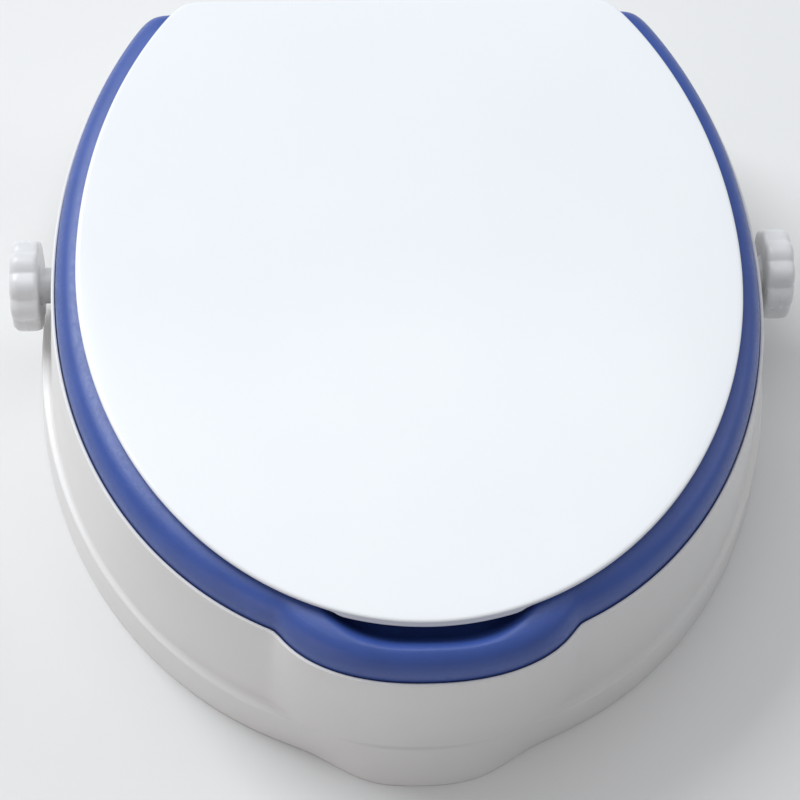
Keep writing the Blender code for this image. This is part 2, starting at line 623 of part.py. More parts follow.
def make_shoe(side):
    """A cranked plate that hangs on the spindle and reaches down beside the bowl."""
    name = side_name(side)
    outer, foot_outer = SHOE_INNER + SHOE_THICK, FOOT_X + SHOE_THICK
    profile = [(SHOE_INNER, SHOE_TOP), (outer, SHOE_TOP), (outer, CRANK_TOP),
               (foot_outer, SHOE_FOOT_TOP), (foot_outer, SHOE_FOOT_BOTTOM),
               (FOOT_X, SHOE_FOOT_BOTTOM), (FOOT_X, SHOE_FOOT_TOP - 1.0),
               (SHOE_INNER, CRANK_TOP - 1.0)]
    loops = [[(side * x, KNOB_Y + y, z) for x, z in profile] for y in (-SHOE_HALF, SHOE_HALF)]
    shoe = add_object(f"clamp_shoe_{name}", skin("shoe", loops), GREY)
    hole = cylinder_mesh("hole", SPINDLE_RADIUS + 0.4,
                         *span(side, SHOE_INNER - 2, outer + 2), axis="X")
    combine(shoe, add_cutter(f"shoe_bore_{name}", [(hole, (0, KNOB_Y, KNOB_Z))]), "DIFFERENCE")
    pad = add_object(f"clamp_pad_{name}", box_mesh("clamp_pad", *SHOE_PAD), RUBBER,
                     (side * (FOOT_X - GAP - SHOE_PAD[0] / 2), KNOB_Y, SHOE_PAD_Z))
    add_bevel(pad, 0.8)


def make_clamp(side, knob_mesh, clip_mesh, nut_mesh):
    name = side_name(side)
    turn = (0, side * pi / 2, 0)
    on_axis = (0, KNOB_Y, KNOB_Z)
    add_object(f"knob_{name}", knob_mesh, WHITE, on_axis, turn)
    groove_low, groove_high = CLIP_INNER_X - 0.2, CLIP_INNER_X + CLIP_THICK + 0.2
    profile = [(0, SPINDLE_OUTER), (SPINDLE_RADIUS, SPINDLE_OUTER),
               (SPINDLE_RADIUS, COLLAR_OUTER), (COLLAR_RADIUS, COLLAR_OUTER),
               (COLLAR_RADIUS, COLLAR_INNER), (SPINDLE_RADIUS, COLLAR_INNER),
               (SPINDLE_RADIUS, groove_high), (GROOVE_RADIUS, groove_high),
               (GROOVE_RADIUS, groove_low), (SPINDLE_RADIUS, groove_low),
               (SPINDLE_RADIUS, SPINDLE_INNER), (0, SPINDLE_INNER)]
    turned(f"spindle_{name}", profile, STEEL, on_axis, turn, sides=20)
    add_object(f"spindle_nut_{name}", nut_mesh, STEEL, on_axis, turn)
    clip_at = (side * CLIP_INNER_X, KNOB_Y, KNOB_Z)
    add_object(f"retaining_clip_{name}", clip_mesh, STEEL, clip_at, turn)
    make_shoe(side)


def make_nut_mesh():
    hexes, rounds = hexagon(NUT_RADIUS), round_loop(SPINDLE_BORE)
    sections = [(hexes, NUT_INNER), (hexes, NUT_OUTER), (rounds, NUT_OUTER),
                (rounds, NUT_INNER)]
    loops = [[(-y, x, z) for x, y in points] for points, z in sections]
    return skin("nut", loops, closed=True)


# ---- rest pads ----------------------------------------------------------------------------
def make_rest_pads():
    """Anti-slip blocks under the flange, which the bowl's rim carries."""
    chute = offset(chute_at(FLANGE_UNDER), WALL)
    for number, station in enumerate(REST_PAD_STATIONS, 1):
        middle = between(chute, FLANGE, 0.5)[station]
        outward = FLANGE[station] - chute[station]
        turn = float(np.arctan2(outward[1], outward[0]))
        block = box_mesh("rest_pad", *REST_PAD)
        pad = add_object(f"rest_pad_{number}", block, RUBBER,
                         (*middle, FLANGE_UNDER - GAP - REST_PAD[2] / 2), (0, 0, turn))
        add_bevel(pad, 0.5, 1)


make_body()
make_pad()
make_carrier()
make_pad_screws()
make_lid()
make_bumpers()
make_rest_pads()
knob_mesh, clip_mesh, nut_mesh = make_knob_mesh(), c_ring_mesh(), make_nut_mesh()
for hand in (-1, 1):
    make_hinge(hand)
    make_clamp(hand, knob_mesh, clip_mesh, nut_mesh)
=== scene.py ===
"""The looks of the raised toilet seat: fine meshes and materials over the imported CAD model.

Outlines repeat the CAD's ovals. Sizes are in millimetres and become metres where a mesh is made;
places come from the frame's own boxes where a piece has one.
"""
from math import cos, pi, radians, sin, tau

import bmesh
import bpy
import numpy as np
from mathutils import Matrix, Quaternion, Vector


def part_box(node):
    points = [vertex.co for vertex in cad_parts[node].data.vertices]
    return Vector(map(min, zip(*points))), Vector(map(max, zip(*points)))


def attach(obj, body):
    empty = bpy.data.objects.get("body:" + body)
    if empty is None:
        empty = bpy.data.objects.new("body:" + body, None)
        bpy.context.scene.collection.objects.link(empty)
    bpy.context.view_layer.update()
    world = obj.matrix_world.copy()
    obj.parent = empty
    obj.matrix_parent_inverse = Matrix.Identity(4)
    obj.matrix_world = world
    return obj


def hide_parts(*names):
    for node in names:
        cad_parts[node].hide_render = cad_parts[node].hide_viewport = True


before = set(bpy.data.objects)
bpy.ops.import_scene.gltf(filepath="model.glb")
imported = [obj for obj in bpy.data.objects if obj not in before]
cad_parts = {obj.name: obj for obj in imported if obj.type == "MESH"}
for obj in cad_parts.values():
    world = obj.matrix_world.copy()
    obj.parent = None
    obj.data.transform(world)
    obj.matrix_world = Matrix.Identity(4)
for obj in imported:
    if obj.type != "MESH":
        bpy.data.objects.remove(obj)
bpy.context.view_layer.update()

MM = 0.001
GAP = 0.3
SIDES = ((-1, "left"), (1, "right"))

# ---- the seat's driving dimensions, as in the CAD -----------------------------------------
STATION_COUNT = 448
CAD_STATIONS = 56
Y_WIDE = 36.0
PAD_BACK_EDGE, PAD_CREST_Z, PAD_POWER = 204.5, 115.0, 2.14
NOSE_HALF, NOSE_REACH, NOSE_POWER, NOSE_CENTRE_Y = 75.0, 45.0, 2.2, -159.4
HINGE_BAY_Y, HINGE_BAY_HALF = 189.5, 118.0
RIM_GAP, RIM_WIDTH, RIM_TOP = 0.5, 1.8, 98.0
DECK_TOP, WALL = 90.0, 3.5
DECK_UNDER = DECK_TOP - WALL
FOOT_Z, LEDGE_Z = 34.0, 25.5
FILLET_Z, LEDGE_EDGE_Z = 29.2, 28.0
BODY_BACK_EDGE, FOOT_BACK_EDGE, FOOT_NOSE_GROWTH = 217.0, 211.0, 2.8
LEDGE_NOSE, LEDGE_POWER = 4.0, 2.04
SKIRT_NOSE, SKIRT_NOSE_HALF = 11.5, 46.0
SKIRT_BACK_RISE, SKIRT_RISE_Y, SKIRT_RISE_RUN = 20.0, 80.0, 35.0
CHUTE_BOTTOM, CHUTE_TAPER = 6.0, 2.0
FLANGE_TOP, FLANGE_UNDER = 25.5, 22.0
RIB_HALF, RIB_STATIONS = 1.5, (39, 45, 33, 51, 10, 18)
LID_TOP, LID_CROWN, LID_THICK = 124.0, 3.0, 3.5
LIP_HALF, LIP_OUT, LIP_DOWN = 44.0, 0.6, 2.2
HINGE_X, HINGE_Y, HINGE_Z = 85.0, 198.0, 108.0
EAR_HALF, EAR_RADIUS, LUG_WALL, LUG_RADIUS = 5.0, 6.5, 5.0, 7.0
PIN_RADIUS, PIN_BORE = 3.0, 3.2
BRACKET_HALF, BRACKET_FRONT, BRACKET_REAR, BRACKET_THICK = 20.0, 193.8, 204.3, 3.7
BRACKET_SCREW_X = 15.5
BRACKET_HOLE, PAD_HOLE = 2.2, 2.3
RECESS_SHARE, RECESS_CUT = 0.24, 2.4
KNOB_Y, KNOB_Z = 51.5, 60.0
KNOB_FACE, KNOB_BACK, HUB_END, BORE_END = 210.5, 195.5, 187.0, 204.0
KNOB_RADIUS, KNOB_LOBE, KNOB_LOBES, HUB_RADIUS = 24.2, 1.0, 10, 9.7
KNOB_SIDES = 160
SPINDLE_RADIUS, SPINDLE_BORE, SPINDLE_OUTER, SPINDLE_INNER = 5.7, 6.0, 203.5, 155.5
THREAD_PITCH, THREAD_DEPTH = 4.0, 0.8
BOSS_RADIUS, BOSS_FACE, BOSS_END, POCKET_FLOOR = 16.0, 173.5, 186.8, 180.0
COUNTERBORE_RADIUS, COUNTERBORE_FLOOR, WEB_BORE = 11.0, 183.0, 6.3
NUT_RADIUS, NUT_INNER, NUT_OUTER = 11.5, 173.8, 179.7
COLLAR_RADIUS, COLLAR_INNER, COLLAR_OUTER = 8.5, 164.3, 167.3
SHOE_INNER, SHOE_THICK, SHOE_HALF, SHOE_TOP = 159.5, 4.0, 18.0, 68.0
FOOT_X, SHOE_FOOT_TOP, SHOE_FOOT_BOTTOM, CRANK_TOP = 184.0, 18.0, 3.0, 44.0
GUIDE_SPACING = 20.0
CLIP_INNER_X, CLIP_THICK, CLIP_RADIUS, GROOVE_RADIUS = 157.7, 1.3, 8.0, 4.3
CLAMP_PAD_SIZE, REST_PAD_SIZE = (3.7, 32.0, 13.0), (26.0, 40.0, 2.0)
PAD_SCREW_STATIONS = (36, 48, 30, 54, 21, 7)
REST_PAD_STATIONS = (37, 47, 28, 0, 20, 8)
CARRIER_OUT, CARRIER_IN, CARRIER_PLAY = 16.0, 14.0, 2.5
CARRIER_LOW, CARRIER_HIGH = DECK_TOP + GAP, DECK_TOP + 3.3

# the finger dip in the pad's nose: a rounded box about the nose's centre
DIP_CENTRE_Y, DIP_HALF, DIP_REACH, DIP_POWER, DIP_DEPTH = -119.5, 56.0, 72.0, 3.0, 13.0
DIP_BACK_Y, DIP_FADE = -160.0, 26.0

STATIONS = np.arange(STATION_COUNT) * tau / STATION_COUNT
CENTRE = np.array([[0.0, Y_WIDE]])


# ---- outlines -----------------------------------------------------------------------------
def soft_min(a, b, softness):
    return -softness * np.logaddexp(-a / softness, -b / softness)


def smooth_step(value):
    value = np.clip(value, 0.0, 1.0)
    return value * value * (3.0 - 2.0 * value)


def outline(half_width, front, back, centre_y=Y_WIDE, front_power=2.0, back_edge=None,
            corner=4.0, nose_growth=None, nose_soft=1.5, nose_out=0.0, stations=STATIONS):
    """An oval of two halves, the front one a superellipse, with a cut back edge, the pad's
    rounded nose, or the skirt's smoother bulge where asked."""
    c, s = np.cos(stations), np.sin(stations)
    power = np.where(s < 0.0, front_power, 2.0)
    x = half_width * np.sign(c) * np.abs(c) ** (2.0 / power)
    y = centre_y + np.where(s < 0.0, front, back) * np.sign(s) * np.abs(s) ** (2.0 / power)
    if nose_growth is not None:
        run = np.clip(np.abs(x) / (NOSE_HALF + nose_growth), 0.0, 1.0) ** NOSE_POWER
        arc = NOSE_CENTRE_Y - (NOSE_REACH + nose_growth) * (1.0 - run) ** (1.0 / NOSE_POWER)
        y = np.where((s < 0.0) & (run < 1.0), soft_min(y, arc, nose_soft), y)
    if nose_out:
        y = np.where(s < 0.0, y - nose_out * np.exp(-(x / SKIRT_NOSE_HALF) ** 4), y)
    if back_edge is not None:
        y = np.where(s < 0.0, y, soft_min(y, back_edge, corner))
    return np.column_stack((x, y))


def offset(ring, distance):
    tangent = np.roll(ring, -1, axis=0) - np.roll(ring, 1, axis=0)
    normal = np.column_stack((tangent[:, 1], -tangent[:, 0]))
    return ring + distance * normal / np.linalg.norm(normal, axis=1)[:, None]


def between(ring_a, ring_b, share):
    return (1.0 - share) * ring_a + share * ring_b


def at_height(ring, z):
    return np.column_stack((ring, np.broadcast_to(z, len(ring))))


PAD_OVAL = dict(half_width=183.5, front=226.5, back=256.0, front_power=PAD_POWER,
                back_edge=PAD_BACK_EDGE, nose_growth=0.0)
OPENING_OVAL = dict(half_width=104.0, front=140.0, back=140.0, centre_y=10.5)
FLANGE_OVAL = dict(half_width=168.0, front=206.0, back=230.0, back_edge=183.0, corner=6.0)
PAD_SEAT = outline(**PAD_OVAL)
OPENING = outline(**OPENING_OVAL)
FLANGE = outline(**FLANGE_OVAL)
RIM_INNER = offset(PAD_SEAT, RIM_GAP)
RIM_OUTER = offset(PAD_SEAT, RIM_GAP + RIM_WIDTH)
WALL_FOOT = outline(half_width=192.0, front=233.0, back=262.0, front_power=PAD_POWER,
                    back_edge=FOOT_BACK_EDGE, corner=6.0,
                    nose_growth=FOOT_NOSE_GROWTH, nose_soft=4.0)
LEDGE = outline(half_width=198.0, front=241.0, back=268.0, front_power=LEDGE_POWER,
                back_edge=BODY_BACK_EDGE, corner=6.0, nose_out=LEDGE_NOSE)
SKIRT = outline(half_width=200.5, front=241.5, back=268.0, front_power=LEDGE_POWER,
                back_edge=BODY_BACK_EDGE, corner=6.0, nose_out=SKIRT_NOSE)
LID = outline(half_width=171.0, front=212.5, back=237.5, centre_y=28.0, back_edge=199.5)


def pad_ring(distance=0.0):
    ring = offset(PAD_SEAT, distance)
    beside = smooth_step((np.abs(ring[:, 0]) - HINGE_BAY_HALF + distance) / 10.0)
    limit = HINGE_BAY_Y + distance + beside * (PAD_BACK_EDGE - HINGE_BAY_Y)
    ring[:, 1] = np.minimum(ring[:, 1], limit)
    return ring


PAD = pad_ring()


def wall_at(z):
    return between(RIM_OUTER, WALL_FOOT, (RIM_TOP - z) / (RIM_TOP - FOOT_Z))


def chute_at(z):
    return offset(OPENING, -CHUTE_TAPER * (DECK_TOP - z) / (DECK_TOP - CHUTE_BOTTOM))


def ring_points(cad_stations, *ovals):
    """The middle between two ovals at stations counted as the CAD counts them."""
    angles = np.array(cad_stations) * tau / CAD_STATIONS
    rings = [outline(**oval, stations=angles) for oval in ovals]
    return between(rings[0], rings[1], 0.5)


# ---- meshes -------------------------------------------------------------------------------
def rounded(loops, radii, closed=False, steps=3):
    """The loops with each one's corner turned into a curve of that size, station by station."""
    loops = [np.asarray(loop, float) for loop in loops]
    result = []
    count = len(loops)
    for i, (loop, radius) in enumerate(zip(loops, radii)):
        end = not closed and i in (0, count - 1)
        if radius <= 0 or end:
            result.append(loop)
            continue
        arms = []
        for other in (loops[i - 1], loops[(i + 1) % count]):
            arm = other - loop
            length = np.linalg.norm(arm, axis=1)[:, None]
            arms.append(arm / np.maximum(length, 1e-9) * np.minimum(radius, length * 0.49))
        for step in range(steps + 1):
            share = step / steps
            result.append(loop + arms[0] * (1 - share) ** 2 + arms[1] * share ** 2)
    return result


def skin(name, loops, closed=False, angle=50):
    bm = bmesh.new()
    rows = [[bm.verts.new(Vector(point) * MM) for point in loop] for loop in loops]
    pairs = list(zip(rows, rows[1:]))
    if closed:
        pairs.append((rows[-1], rows[0]))
    else:
        bm.faces.new(rows[0])
        bm.faces.new(rows[-1])
    count = len(rows[0])
    for near, far in pairs:
        for i in range(count):
            j = (i + 1) % count
            bm.faces.new((near[i], near[j], far[j], far[i]))
    bmesh.ops.recalc_face_normals(bm, faces=bm.faces)
    mesh = bpy.data.meshes.new(name)
    bm.to_mesh(mesh)
    bm.free()
    mesh.shade_smooth()
    mesh.set_sharp_from_angle(angle=radians(angle))
    return mesh


def link(name, mesh, location=(0, 0, 0), rotation=(0, 0, 0)):
    item = bpy.data.objects.new(name, mesh)
    item.location = Vector(location) * MM
    item.rotation_euler = rotation
    bpy.context.scene.collection.objects.link(item)
    return item


def finish_piece(item, material, body, node):
    item.data.materials.clear()
    item.data.materials.append(material)
    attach(item, body)
    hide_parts(node)


def apply_modifiers(item, angle=40):
    graph = bpy.context.evaluated_depsgraph_get()
    mesh = bpy.data.meshes.new_from_object(item.evaluated_get(graph))
    item.modifiers.clear()
    item.data = mesh
    mesh.shade_smooth()
    mesh.set_sharp_from_angle(angle=radians(angle))


def joined(name, placed):
    """One mesh from several: (mesh, location) pairs."""
    bm = bmesh.new()
    for mesh, location in placed:
        start = len(bm.verts)
        bm.from_mesh(mesh)
        bm.verts.ensure_lookup_table()
        bmesh.ops.translate(bm, verts=bm.verts[start:], vec=Vector(location) * MM)
    mesh = bpy.data.meshes.new(name)
    bm.to_mesh(mesh)
    bm.free()
    return mesh


def combine(item, placed, operation):
    """Joins or cuts the item with meshes that are apart from each other, and applies it."""
    operand = link(f"{item.name}_operand", joined("operand", placed))
    modifier = item.modifiers.new(operation, "BOOLEAN")
    modifier.operation = operation
    modifier.object = operand
    apply_modifiers(item)
    bpy.data.objects.remove(operand)


def bevelled(item, width, segments=3, angle=35):
    modifier = item.modifiers.new("bevel", "BEVEL")
    modifier.width = width * MM
    modifier.segments = segments
    modifier.limit_method = "ANGLE"
    modifier.angle_limit = radians(angle)
    modifier.harden_normals = True
    apply_modifiers(item, 60)


def circle(radius, count=48):
    return [(radius * cos(tau * i / count), radius * sin(tau * i / count))
            for i in range(count)]


def turned_mesh(name, profile, radii=None, sides=48):
    """A solid of revolution about Z from (radius, height) points, none of them on the axis."""
    loops = [np.array([(x, y, height) for x, y in circle(radius, sides)])
             for radius, height in profile]
    if radii:
        loops = rounded(loops, radii)
    return skin(name, loops)


def cylinder_mesh(radius, low, high, axis="Z", sides=48):
    loops = [[(x, y, z) for x, y in circle(radius, sides)] for z in (low, high)]
    if axis == "X":
        loops = [[(z, y, -x) for x, y, z in loop] for loop in loops]
    return skin("cylinder", loops)


def box_mesh(size_x, size_y, size_z):
    bm = bmesh.new()
    bmesh.ops.create_cube(bm, size=MM)
    bmesh.ops.scale(bm, verts=bm.verts, vec=(size_x, size_y, size_z))
    mesh = bpy.data.meshes.new("box")
    bm.to_mesh(mesh)
    bm.free()
    return mesh


def hexagon(radius, count=24):
    points = []
    for i in range(count):
        angle = tau * i / count
        reach = radius * cos(pi / 6) / cos((angle % (pi / 3)) - pi / 6)
        points.append((reach * cos(angle), reach * sin(angle)))
    return points


def span(side, low, high):
    return (low, high) if side > 0 else (-high, -low)


# ---- materials ----------------------------------------------------------------------------
class Material:
    """A Principled material whose detail comes from noise in the object's own coordinates."""

    def __init__(self, name, color, roughness, metallic=0.0, **extra):
        self.material = bpy.data.materials.new(name)
        self.material.use_nodes = True
        self.nodes = self.material.node_tree.nodes
        self.links = self.material.node_tree.links
        self.shader = self.nodes["Principled BSDF"]
        self.color = (*color, 1.0)
        self.shader.inputs["Base Color"].default_value = self.color
        self.shader.inputs["Roughness"].default_value = roughness
        self.shader.inputs["Metallic"].default_value = metallic
        for key, value in extra.items():
            self.shader.inputs[key.replace("_", " ")].default_value = value
        self.place = self.nodes.new("ShaderNodeTexCoord").outputs["Object"]
        self.normal = None

    def noise(self, scale, detail=2.0, stretch=None):
        place = self.place
        if stretch:
            mapping = self.nodes.new("ShaderNodeMapping")
            mapping.inputs["Scale"].default_value = stretch
            self.links.new(place, mapping.inputs["Vector"])
            place = mapping.outputs["Vector"]
        noise = self.nodes.new("ShaderNodeTexNoise")
        noise.inputs["Scale"].default_value = scale
        noise.inputs["Detail"].default_value = detail
        self.links.new(place, noise.inputs["Vector"])
        return noise.outputs["Fac"]

    def ramp(self, source, low, high, start=0.3, end=0.7):
        ramp = self.nodes.new("ShaderNodeMapRange")
        ramp.inputs["From Min"].default_value = start
        ramp.inputs["From Max"].default_value = end
        ramp.inputs["To Min"].default_value = low
        ramp.inputs["To Max"].default_value = high
        self.links.new(source, ramp.inputs["Value"])
        return ramp.outputs["Result"]

    def bump(self, source, strength, distance):
        bump = self.nodes.new("ShaderNodeBump")
        bump.inputs["Strength"].default_value = strength
        bump.inputs["Distance"].default_value = distance * MM
        self.links.new(source, bump.inputs["Height"])
        if self.normal:
            self.links.new(self.normal, bump.inputs["Normal"])
        self.normal = bump.outputs["Normal"]
        self.links.new(self.normal, self.shader.inputs["Normal"])

    def vary_roughness(self, source, low, high):
        self.links.new(self.ramp(source, low, high), self.shader.inputs["Roughness"])

    def vary_color(self, source, other, low=0.0, high=1.0):
        mix = self.nodes.new("ShaderNodeMix")
        mix.data_type = "RGBA"
        mix.inputs["A"].default_value = self.color
        mix.inputs["B"].default_value = (*other, 1.0)
        self.links.new(self.ramp(source, low, high), mix.inputs["Factor"])
        self.links.new(mix.outputs["Result"], self.shader.inputs["Base Color"])


def body_plastic():
    """Satin white mouldings: a faint spark-eroded grain and a slow change of gloss."""
    m = Material("body_plastic", (0.78, 0.775, 0.775), 0.36, IOR=1.49)
    m.bump(m.noise(1500, 2.0), 0.12, 0.12)
    m.bump(m.noise(22, 2.0), 0.10, 0.8)
    m.vary_roughness(m.noise(35, 3.0), 0.33, 0.43)
    m.vary_color(m.noise(14, 3.0), (0.755, 0.745, 0.74))
    return m.material


def lid_plastic():
    """Gloss white sheet with the long, slight waviness of a pressing."""
    m = Material("lid_plastic", (0.86, 0.88, 0.91), 0.16, IOR=1.49)
    m.bump(m.noise(9, 1.0), 0.06, 1.2)
    m.bump(m.noise(1100, 2.0), 0.03, 0.08)
    m.vary_roughness(m.noise(18, 3.0), 0.13, 0.21)
    m.vary_color(m.noise(10, 2.0), (0.84, 0.865, 0.90))
    return m.material


def knob_plastic():
    m = Material("knob_plastic", (0.74, 0.745, 0.76), 0.30, IOR=1.49)
    m.bump(m.noise(1700, 2.0), 0.10, 0.1)
    m.vary_roughness(m.noise(60, 3.0), 0.26, 0.36)
    m.vary_color(m.noise(40, 3.0), (0.70, 0.70, 0.71))
    return m.material


def pad_foam():
    """Soft foam with a moulded skin: fine pores, a thin satin coat and a slight mottle."""
    m = Material("pad_foam", (0.042, 0.092, 0.36), 0.36, IOR=1.5)
    m.shader.inputs["Coat Weight"].default_value = 0.12
    m.shader.inputs["Coat Roughness"].default_value = 0.42
    m.bump(m.noise(1250, 3.0), 0.35, 0.22)
    m.bump(m.noise(260, 3.0), 0.16, 0.25)
    m.bump(m.noise(30, 2.0), 0.10, 1.0)
    m.vary_roughness(m.noise(420, 3.0), 0.34, 0.48)
    m.vary_color(m.noise(55, 4.0), (0.038, 0.082, 0.32))
    return m.material


def carrier_plastic():
    m = Material("carrier_plastic", (0.27, 0.28, 0.30), 0.55)
    m.bump(m.noise(1300, 2.0), 0.25, 0.15)
    m.vary_roughness(m.noise(45, 3.0), 0.48, 0.64)
    m.vary_color(m.noise(30, 3.0), (0.24, 0.25, 0.27))
    return m.material


def rubber():
    m = Material("grey_rubber", (0.085, 0.085, 0.09), 0.75)
    m.bump(m.noise(900, 4.0), 0.4, 0.18)
    m.vary_roughness(m.noise(120, 3.0), 0.68, 0.86)
    m.vary_color(m.noise(80, 3.0), (0.11, 0.11, 0.115))
    return m.material


def steel():
    """Stainless steel with fine drawn lines and a little handling haze."""
    m = Material("stainless_steel", (0.62, 0.62, 0.635), 0.28, metallic=1.0)
    m.bump(m.noise(900, 2.0, stretch=(0.05, 1.0, 1.0)), 0.15, 0.05)
    m.vary_roughness(m.noise(90, 3.0), 0.20, 0.38)
    m.vary_color(m.noise(25, 3.0), (0.55, 0.55, 0.57))
    return m.material


BODY, LID_SKIN, KNOB_SKIN = body_plastic(), lid_plastic(), knob_plastic()
FOAM, CARRIER, RUBBER, STEEL = pad_foam(), carrier_plastic(), rubber(), steel()


# ---- body ---------------------------------------------------------------------------------
def body_loops():
    """Control rings round the body's wall section, each with the size of its rounding."""
    skirt_low = SKIRT_BACK_RISE * smooth_step((SKIRT[:, 1] - SKIRT_RISE_Y) / SKIRT_RISE_RUN)
    skirt_mid = (skirt_low + LEDGE_Z) / 2
    sections = [
        (at_height(chute_at(CHUTE_BOTTOM), CHUTE_BOTTOM), 1.2),
        (at_height(chute_at(DECK_TOP), DECK_TOP), 3.0),
        (at_height(RIM_INNER, DECK_TOP), 0.3),
        (at_height(RIM_INNER, RIM_TOP), 0.7),
        (at_height(RIM_OUTER, RIM_TOP), 0.8),
        (at_height(wall_at(76.0), 76.0), 0.0),
        (at_height(wall_at(55.0), 55.0), 0.0),
        (at_height(WALL_FOOT, FOOT_Z), 2.0),
        (at_height(between(WALL_FOOT, LEDGE, 0.08), FILLET_Z), 4.5),
        (at_height(LEDGE, LEDGE_EDGE_Z), 1.0),
        (at_height(between(LEDGE, SKIRT, 0.35), skirt_mid), 5.0),
        (at_height(SKIRT, skirt_low), 1.3),
        (at_height(offset(SKIRT, -WALL), skirt_low), 1.3),
        (at_height(offset(LEDGE, -WALL), LEDGE_Z - WALL + 0.5), 2.0),
        (at_height(offset(WALL_FOOT, -WALL), FOOT_Z - 5.0), 3.0),
        (at_height(offset(wall_at(55.0), -WALL), 55.0), 0.0),
        (at_height(offset(wall_at(DECK_UNDER), -WALL), DECK_UNDER), 2.5),
        (at_height(offset(chute_at(DECK_UNDER), WALL), DECK_UNDER), 2.5),
        (at_height(offset(chute_at(FLANGE_TOP), WALL), FLANGE_TOP), 2.5),
        (at_height(FLANGE, FLANGE_TOP), 1.2),
        (at_height(FLANGE, FLANGE_UNDER), 1.2),
        (at_height(offset(chute_at(FLANGE_UNDER), WALL), FLANGE_UNDER), 1.5),
        (at_height(offset(chute_at(CHUTE_BOTTOM), WALL - 0.5), CHUTE_BOTTOM), 1.0),
    ]
    loops, radii = zip(*sections)
    return rounded(loops, radii, closed=True, steps=4)


def rib_mesh(start, direction, to_flange, to_foot, to_top):
    low, high = FLANGE_UNDER + 2.0, DECK_TOP - 2.0
    profile = [(0, low), (to_flange, low), (to_foot, FOOT_Z), (to_top, high), (0, high)]
    across = np.array([-direction[1], direction[0]]) * RIB_HALF
    faces = []
    for side in (-1, 1):
        flat = [start + direction * run + across * side for run, _ in profile]
        faces.append([(point[0], point[1], z) for point, (_, z) in zip(flat, profile)])
    return skin("rib", faces)


def radial_rib(cad_station):
    station = round(cad_station * STATION_COUNT / CAD_STATIONS)
    start = offset(OPENING, 1.0)[station]
    rings = (offset(FLANGE, -2.0), offset(WALL_FOOT, -WALL / 2),
             offset(wall_at(DECK_TOP - 2.0), -WALL / 2))
    foot = rings[1][station]
    direction = (foot - start) / np.linalg.norm(foot - start)
    return rib_mesh(start, direction, *[float((ring[station] - start) @ direction)
                                        for ring in rings])


def half_width_at(ring, y):
    right = ring[ring[:, 0] > 1.0]
    order = np.argsort(right[:, 1])
    return float(np.interp(y, right[order, 1], right[order, 0]))


def guide_rib(side, y):
    start = half_width_at(offset(OPENING, 1.0), y)
    rings = (offset(FLANGE, -2.0), offset(WALL_FOOT, -WALL / 2),
             offset(wall_at(DECK_TOP - 2.0), -WALL / 2))
    return rib_mesh(np.array([side * start, y]), np.array([float(side), 0.0]),
                    *[half_width_at(ring, y) - start for ring in rings])


def make_body():
    body = link("body_moulding", skin("body_moulding", body_loops(), closed=True))
    added = [(radial_rib(station), (0, 0, 0)) for station in RIB_STATIONS]
    bored, pockets = [], []
    at_knob = (0, KNOB_Y, KNOB_Z)
    for side, _ in SIDES:
        for shift in (-GUIDE_SPACING, GUIDE_SPACING):
            added.append((guide_rib(side, KNOB_Y + shift), (0, 0, 0)))
        added.append((cylinder_mesh(BOSS_RADIUS, *span(side, BOSS_FACE, BOSS_END), axis="X"),
                      at_knob))
        stepped = ((WEB_BORE, BOSS_FACE - 3.0), (WEB_BORE, COUNTERBORE_FLOOR),
                   (COUNTERBORE_RADIUS, COUNTERBORE_FLOOR), (COUNTERBORE_RADIUS, 200.0))
        bored.append((skin("way", [[(side * x, a, b) for a, b in circle(radius, 64)]
                                   for radius, x in stepped]), at_knob))
        pockets.append((skin("pocket", [[(side * x, a, b) for a, b in hexagon(NUT_RADIUS + 0.4)]
                                        for x in (BOSS_FACE - 2.0, POCKET_FLOOR)]), at_knob))
        for shift in (-BRACKET_SCREW_X, BRACKET_SCREW_X):
            bored.append((cylinder_mesh(BRACKET_HOLE, DECK_UNDER - 2, DECK_TOP + 2, sides=24),
                          (side * HINGE_X + shift, (BRACKET_FRONT + BRACKET_REAR) / 2, 0)))
    for x, y in ring_points(PAD_SCREW_STATIONS, OPENING_OVAL, PAD_OVAL):
        bored.append((cylinder_mesh(PAD_HOLE, DECK_UNDER - 2, DECK_TOP + 2, sides=24), (x, y, 0)))
    combine(body, added, "UNION")
    combine(body, bored, "DIFFERENCE")
    combine(body, pockets, "DIFFERENCE")
    finish_piece(body, BODY, "root", "body_shell")


# ---- pad ----------------------------------------------------------------------------------
def dipped(loop):
    """The loop lowered where it crosses the finger dip."""
    x, y, z = loop.T
    reach = ((np.abs(x) / DIP_HALF) ** DIP_POWER
             + (np.abs(y - DIP_CENTRE_Y) / DIP_REACH) ** DIP_POWER) ** (1 / DIP_POWER)
    reach = np.where(y < DIP_CENTRE_Y, reach, 2.0)
    inside = smooth_step((1.06 - reach) / 0.2)
    front = 1.0 - smooth_step((y - DIP_BACK_Y) / DIP_FADE)
    above = smooth_step((z - 97.0) / 10.0)
    return np.column_stack((x, y, z - DIP_DEPTH * inside * front * above))


